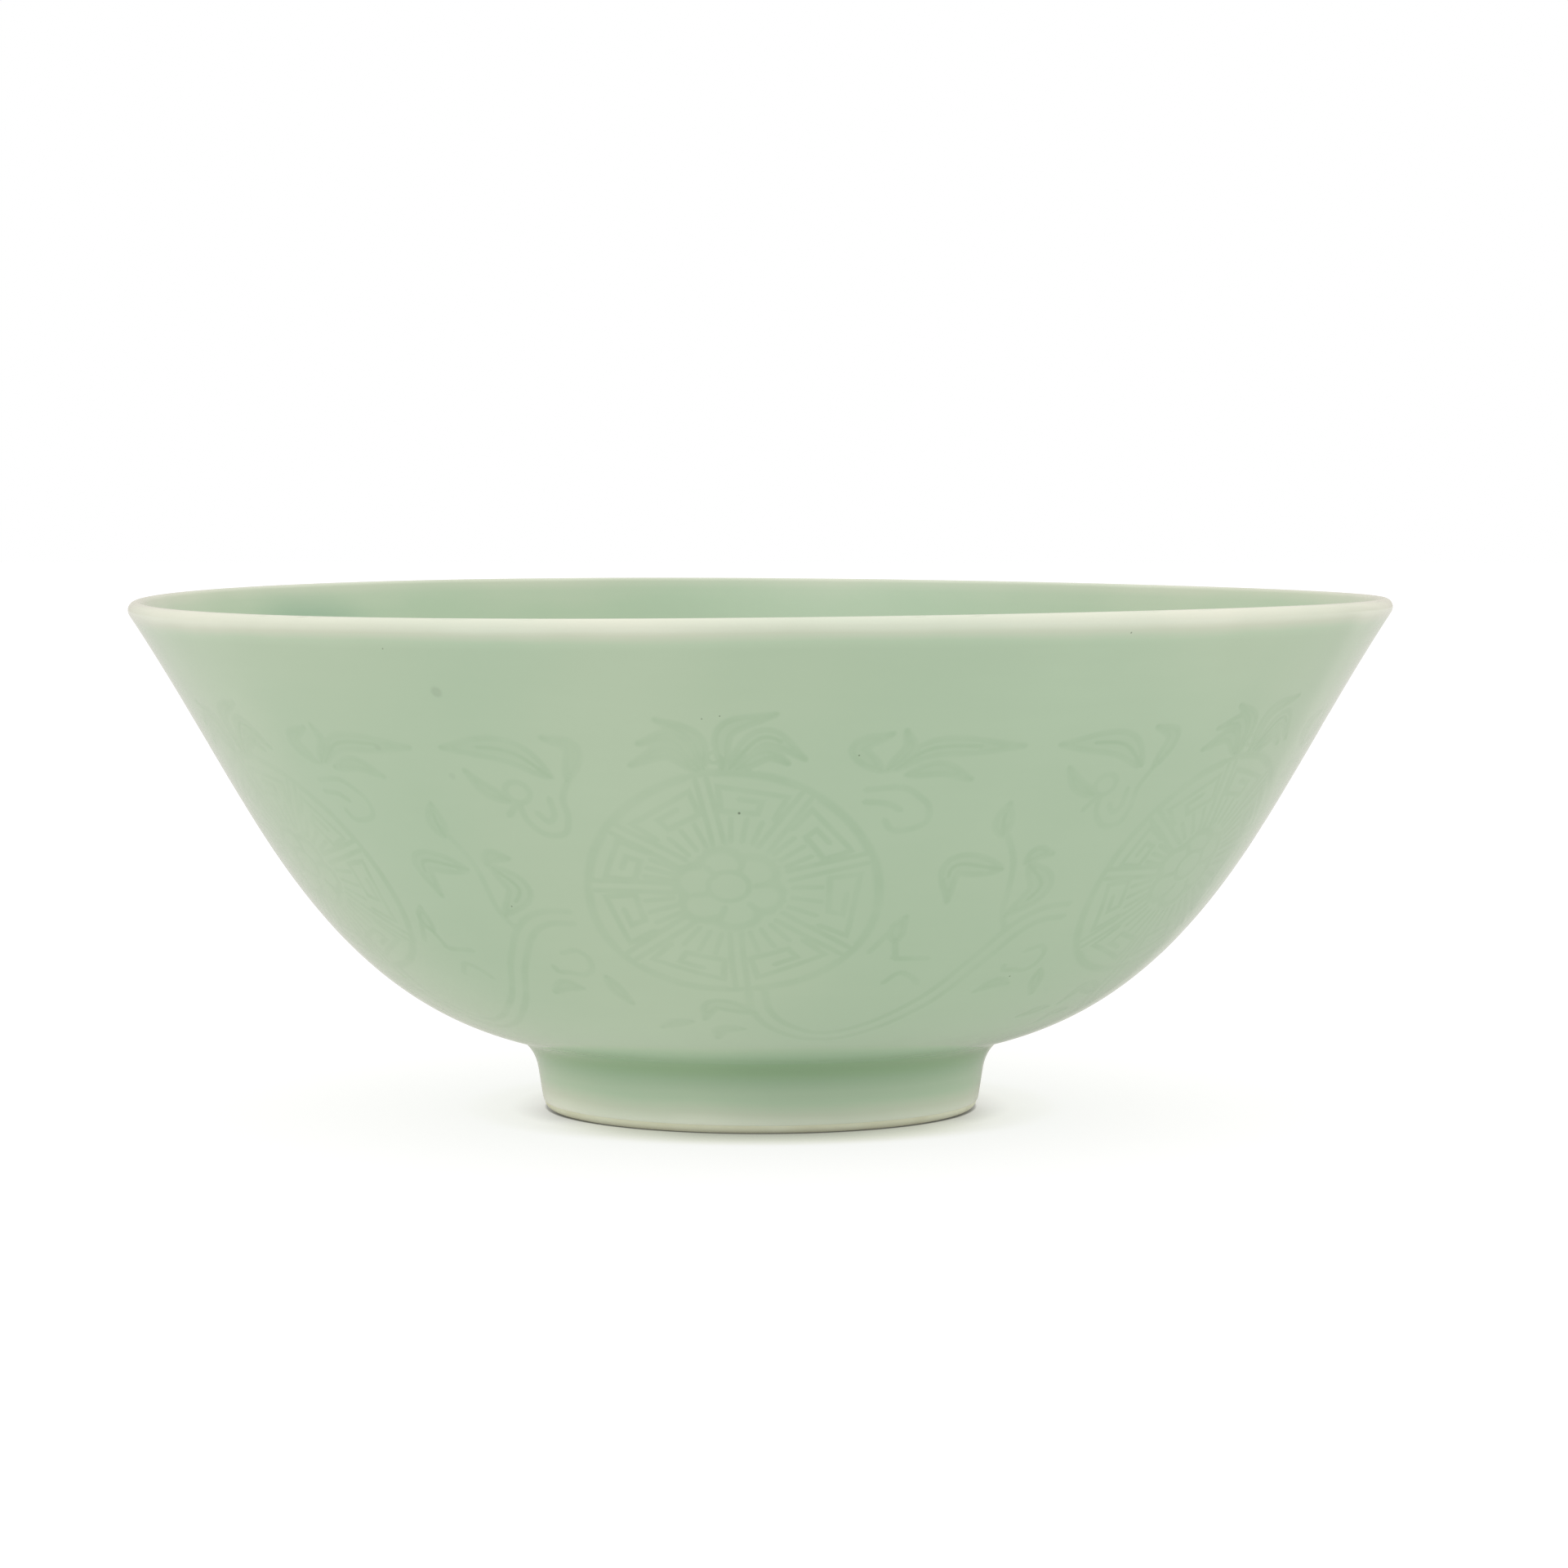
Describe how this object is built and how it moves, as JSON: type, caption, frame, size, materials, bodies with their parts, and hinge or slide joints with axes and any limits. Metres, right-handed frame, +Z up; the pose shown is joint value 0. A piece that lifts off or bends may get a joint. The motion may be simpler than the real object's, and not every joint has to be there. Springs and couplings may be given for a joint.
{
  "type": "bowl",
  "caption": "Footed celadon bowl: flared wall over a full belly, rounded lip and recessed foot ring, with fret roundels and leafy scrolls carved under the glaze.",
  "frame": {"origin": "centre of the foot ring, on the plane that the foot stands on", "axes": "+Z up along the bowl's axis; the roundel that faces the viewer in the picture looks towards -Y, with +X to its right"},
  "size_m": [0.175, 0.175, 0.0713],
  "materials": {
    "porcelain": "bare fired clay, matt, on the edge of the foot only",
    "outside_celadon": "glossy grey-green glaze, pale on the lip, dark where it gathers in the carving and above the foot",
    "inside_celadon": "glossy grey-green glaze, plain",
    "base_celadon": "thin glossy grey-green glaze under the foot"
  },
  "bodies": {
    "root": {"porcelain_body": "porcelain", "outside_glaze": "outside_celadon", "inside_glaze": "inside_celadon", "base_glaze": "base_celadon"}
  },
  "joints": []
}
